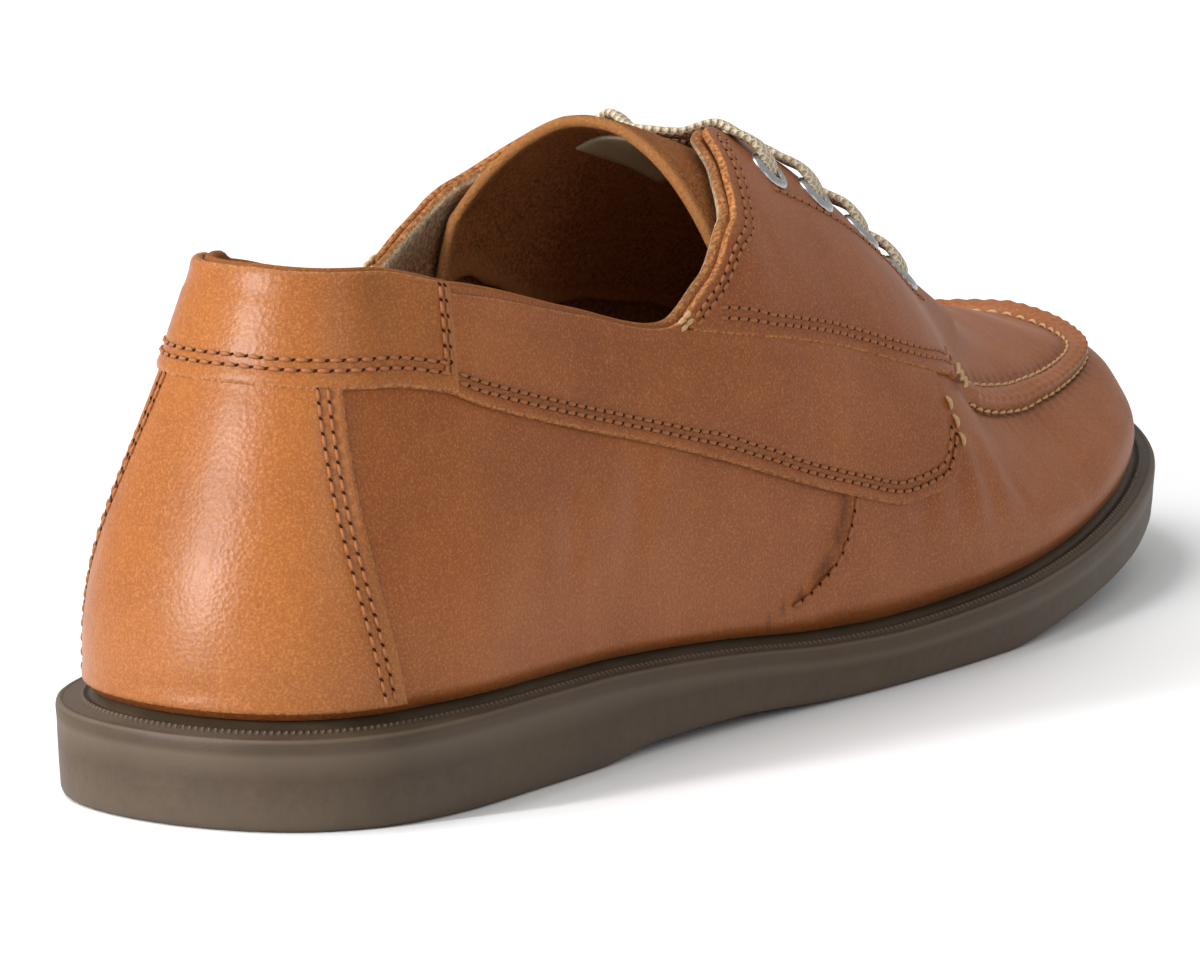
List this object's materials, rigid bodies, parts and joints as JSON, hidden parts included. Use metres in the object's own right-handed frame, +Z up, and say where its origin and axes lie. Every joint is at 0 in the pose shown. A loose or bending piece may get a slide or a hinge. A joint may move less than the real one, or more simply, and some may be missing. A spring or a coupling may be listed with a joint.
{
  "type": "boat shoe",
  "caption": "Right boat shoe with a moccasin front, lace flaps over a tongue, a collar band and a moulded rubber sole.",
  "frame": {"origin": "centre of the outline seen from above, on the floor under the sole", "axes": "+Y towards the toe, +Z up, +X towards the outer (lateral) side of the right foot"},
  "size_m": [0.107, 0.2959, 0.0951],
  "materials": {
    "sole_rubber": "matte moulded rubber, dark taupe",
    "tan_leather": "oiled full-grain leather, satin",
    "suede": "unlined flesh side of the leather",
    "insole_leather": "smooth sock leather",
    "nickel": "nickel-plated brass, satin",
    "lace_cord": "waxed flat braid, cream"
  },
  "bodies": {
    "root": {"outsole": "sole_rubber", "insole": "insole_leather", "upper": "tan_leather", "tongue": "suede", "heel_cuff": "tan_leather", "heel_counter": "tan_leather", "side_band_lateral": "tan_leather", "side_band_medial": "tan_leather", "eyestay_lateral": "tan_leather", "eyestay_medial": "tan_leather", "eyelet_lateral_1": "nickel", "eyelet_lateral_2": "nickel", "eyelet_lateral_3": "nickel", "eyelet_lateral_4": "nickel", "eyelet_medial_1": "nickel", "eyelet_medial_2": "nickel", "eyelet_medial_3": "nickel", "eyelet_medial_4": "nickel", "lace": "lace_cord"}
  },
  "joints": []
}
